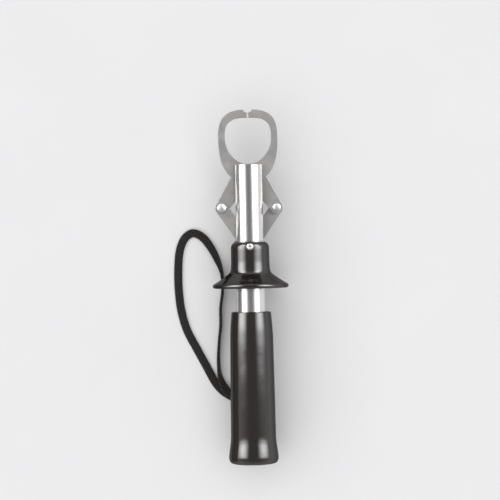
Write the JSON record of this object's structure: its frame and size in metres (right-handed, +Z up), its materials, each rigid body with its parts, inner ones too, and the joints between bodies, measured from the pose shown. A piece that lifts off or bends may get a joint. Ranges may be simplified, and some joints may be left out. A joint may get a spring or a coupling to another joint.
{
  "type": "lip grip",
  "caption": "Fish lip grip: hooked steel jaws that form a ring, opened by pulling a sprung bell-shaped collar down a polished tube, with a coated handle and a wrist lanyard.",
  "frame": {"origin": "on the surface that the tool lies on, under the middle of its length and on its axis", "axes": "+Y from the butt of the handle to the jaws, +Z up, out of the tool's front, +X to the tool's right"},
  "size_m": [0.0732, 0.224, 0.048],
  "materials": {
    "tube": "mirror polished",
    "satin_steel": "satin",
    "bright_steel": "polished",
    "spring_steel": "plain",
    "coating": "glossy dipped coating",
    "core": "moulded, hidden",
    "strap": "flat woven strap"
  },
  "bodies": {
    "body": {"main_tube": "tube", "handle_core": "core", "grip_sleeve": "coating", "end_plug": "satin_steel", "seat_pin": "spring_steel", "handle_pin": "spring_steel", "spring_seat": "satin_steel", "spring": "spring_steel", "jaw_pivot_pin": "bright_steel", "pivot_spacers": "satin_steel", "lanyard_grommet": "satin_steel", "lanyard_knot": "strap", "lanyard": "strap"},
    "collar": {"collar_bush": "satin_steel", "collar_core": "core", "collar_skin": "coating", "collar_pin": "bright_steel", "plunger": "satin_steel", "link_spacer": "satin_steel"},
    "left_jaw": {"jaw_left": "satin_steel", "rivet_left": "bright_steel", "rivet_washer_left": "bright_steel"},
    "right_jaw": {"jaw_right": "satin_steel", "rivet_right": "bright_steel", "rivet_washer_right": "bright_steel"},
    "left_link": {"link_left": "satin_steel"},
    "right_link": {"link_right": "satin_steel"}
  },
  "joints": [
    {"name": "collar_slide", "type": "slide", "parent": "body", "child": "collar", "axis": [0, -1, 0], "range_m": [0, 0.007], "stiffness_N_per_m": 1500, "springref_m": -0.006, "deforming": ["spring"]},
    {"name": "left_jaw_pivot", "type": "hinge", "parent": "body", "child": "left_jaw", "pos_m": [0, 0.0696, 0.024], "axis": [0, 0, 1], "range_deg": [0, 14.4]},
    {"name": "right_jaw_pivot", "type": "hinge", "parent": "body", "child": "right_jaw", "pos_m": [0, 0.0696, 0.024], "axis": [0, 0, 1], "range_deg": [-14.4, 0]},
    {"name": "left_link_pivot", "type": "hinge", "parent": "collar", "child": "left_link", "pos_m": [0, 0.025, 0.024], "axis": [0, 0, 1], "range_deg": [-11.9, 0]},
    {"name": "right_link_pivot", "type": "hinge", "parent": "collar", "child": "right_link", "pos_m": [0, 0.025, 0.024], "axis": [0, 0, 1], "range_deg": [0, 11.9]}
  ],
  "couplings": [
    {"joint": "left_jaw_pivot", "follows": "collar_slide", "rad_per_m": 35.74},
    {"joint": "right_jaw_pivot", "follows": "collar_slide", "rad_per_m": -35.74},
    {"joint": "left_link_pivot", "follows": "collar_slide", "rad_per_m": -29.63},
    {"joint": "right_link_pivot", "follows": "collar_slide", "rad_per_m": 29.63}
  ]
}
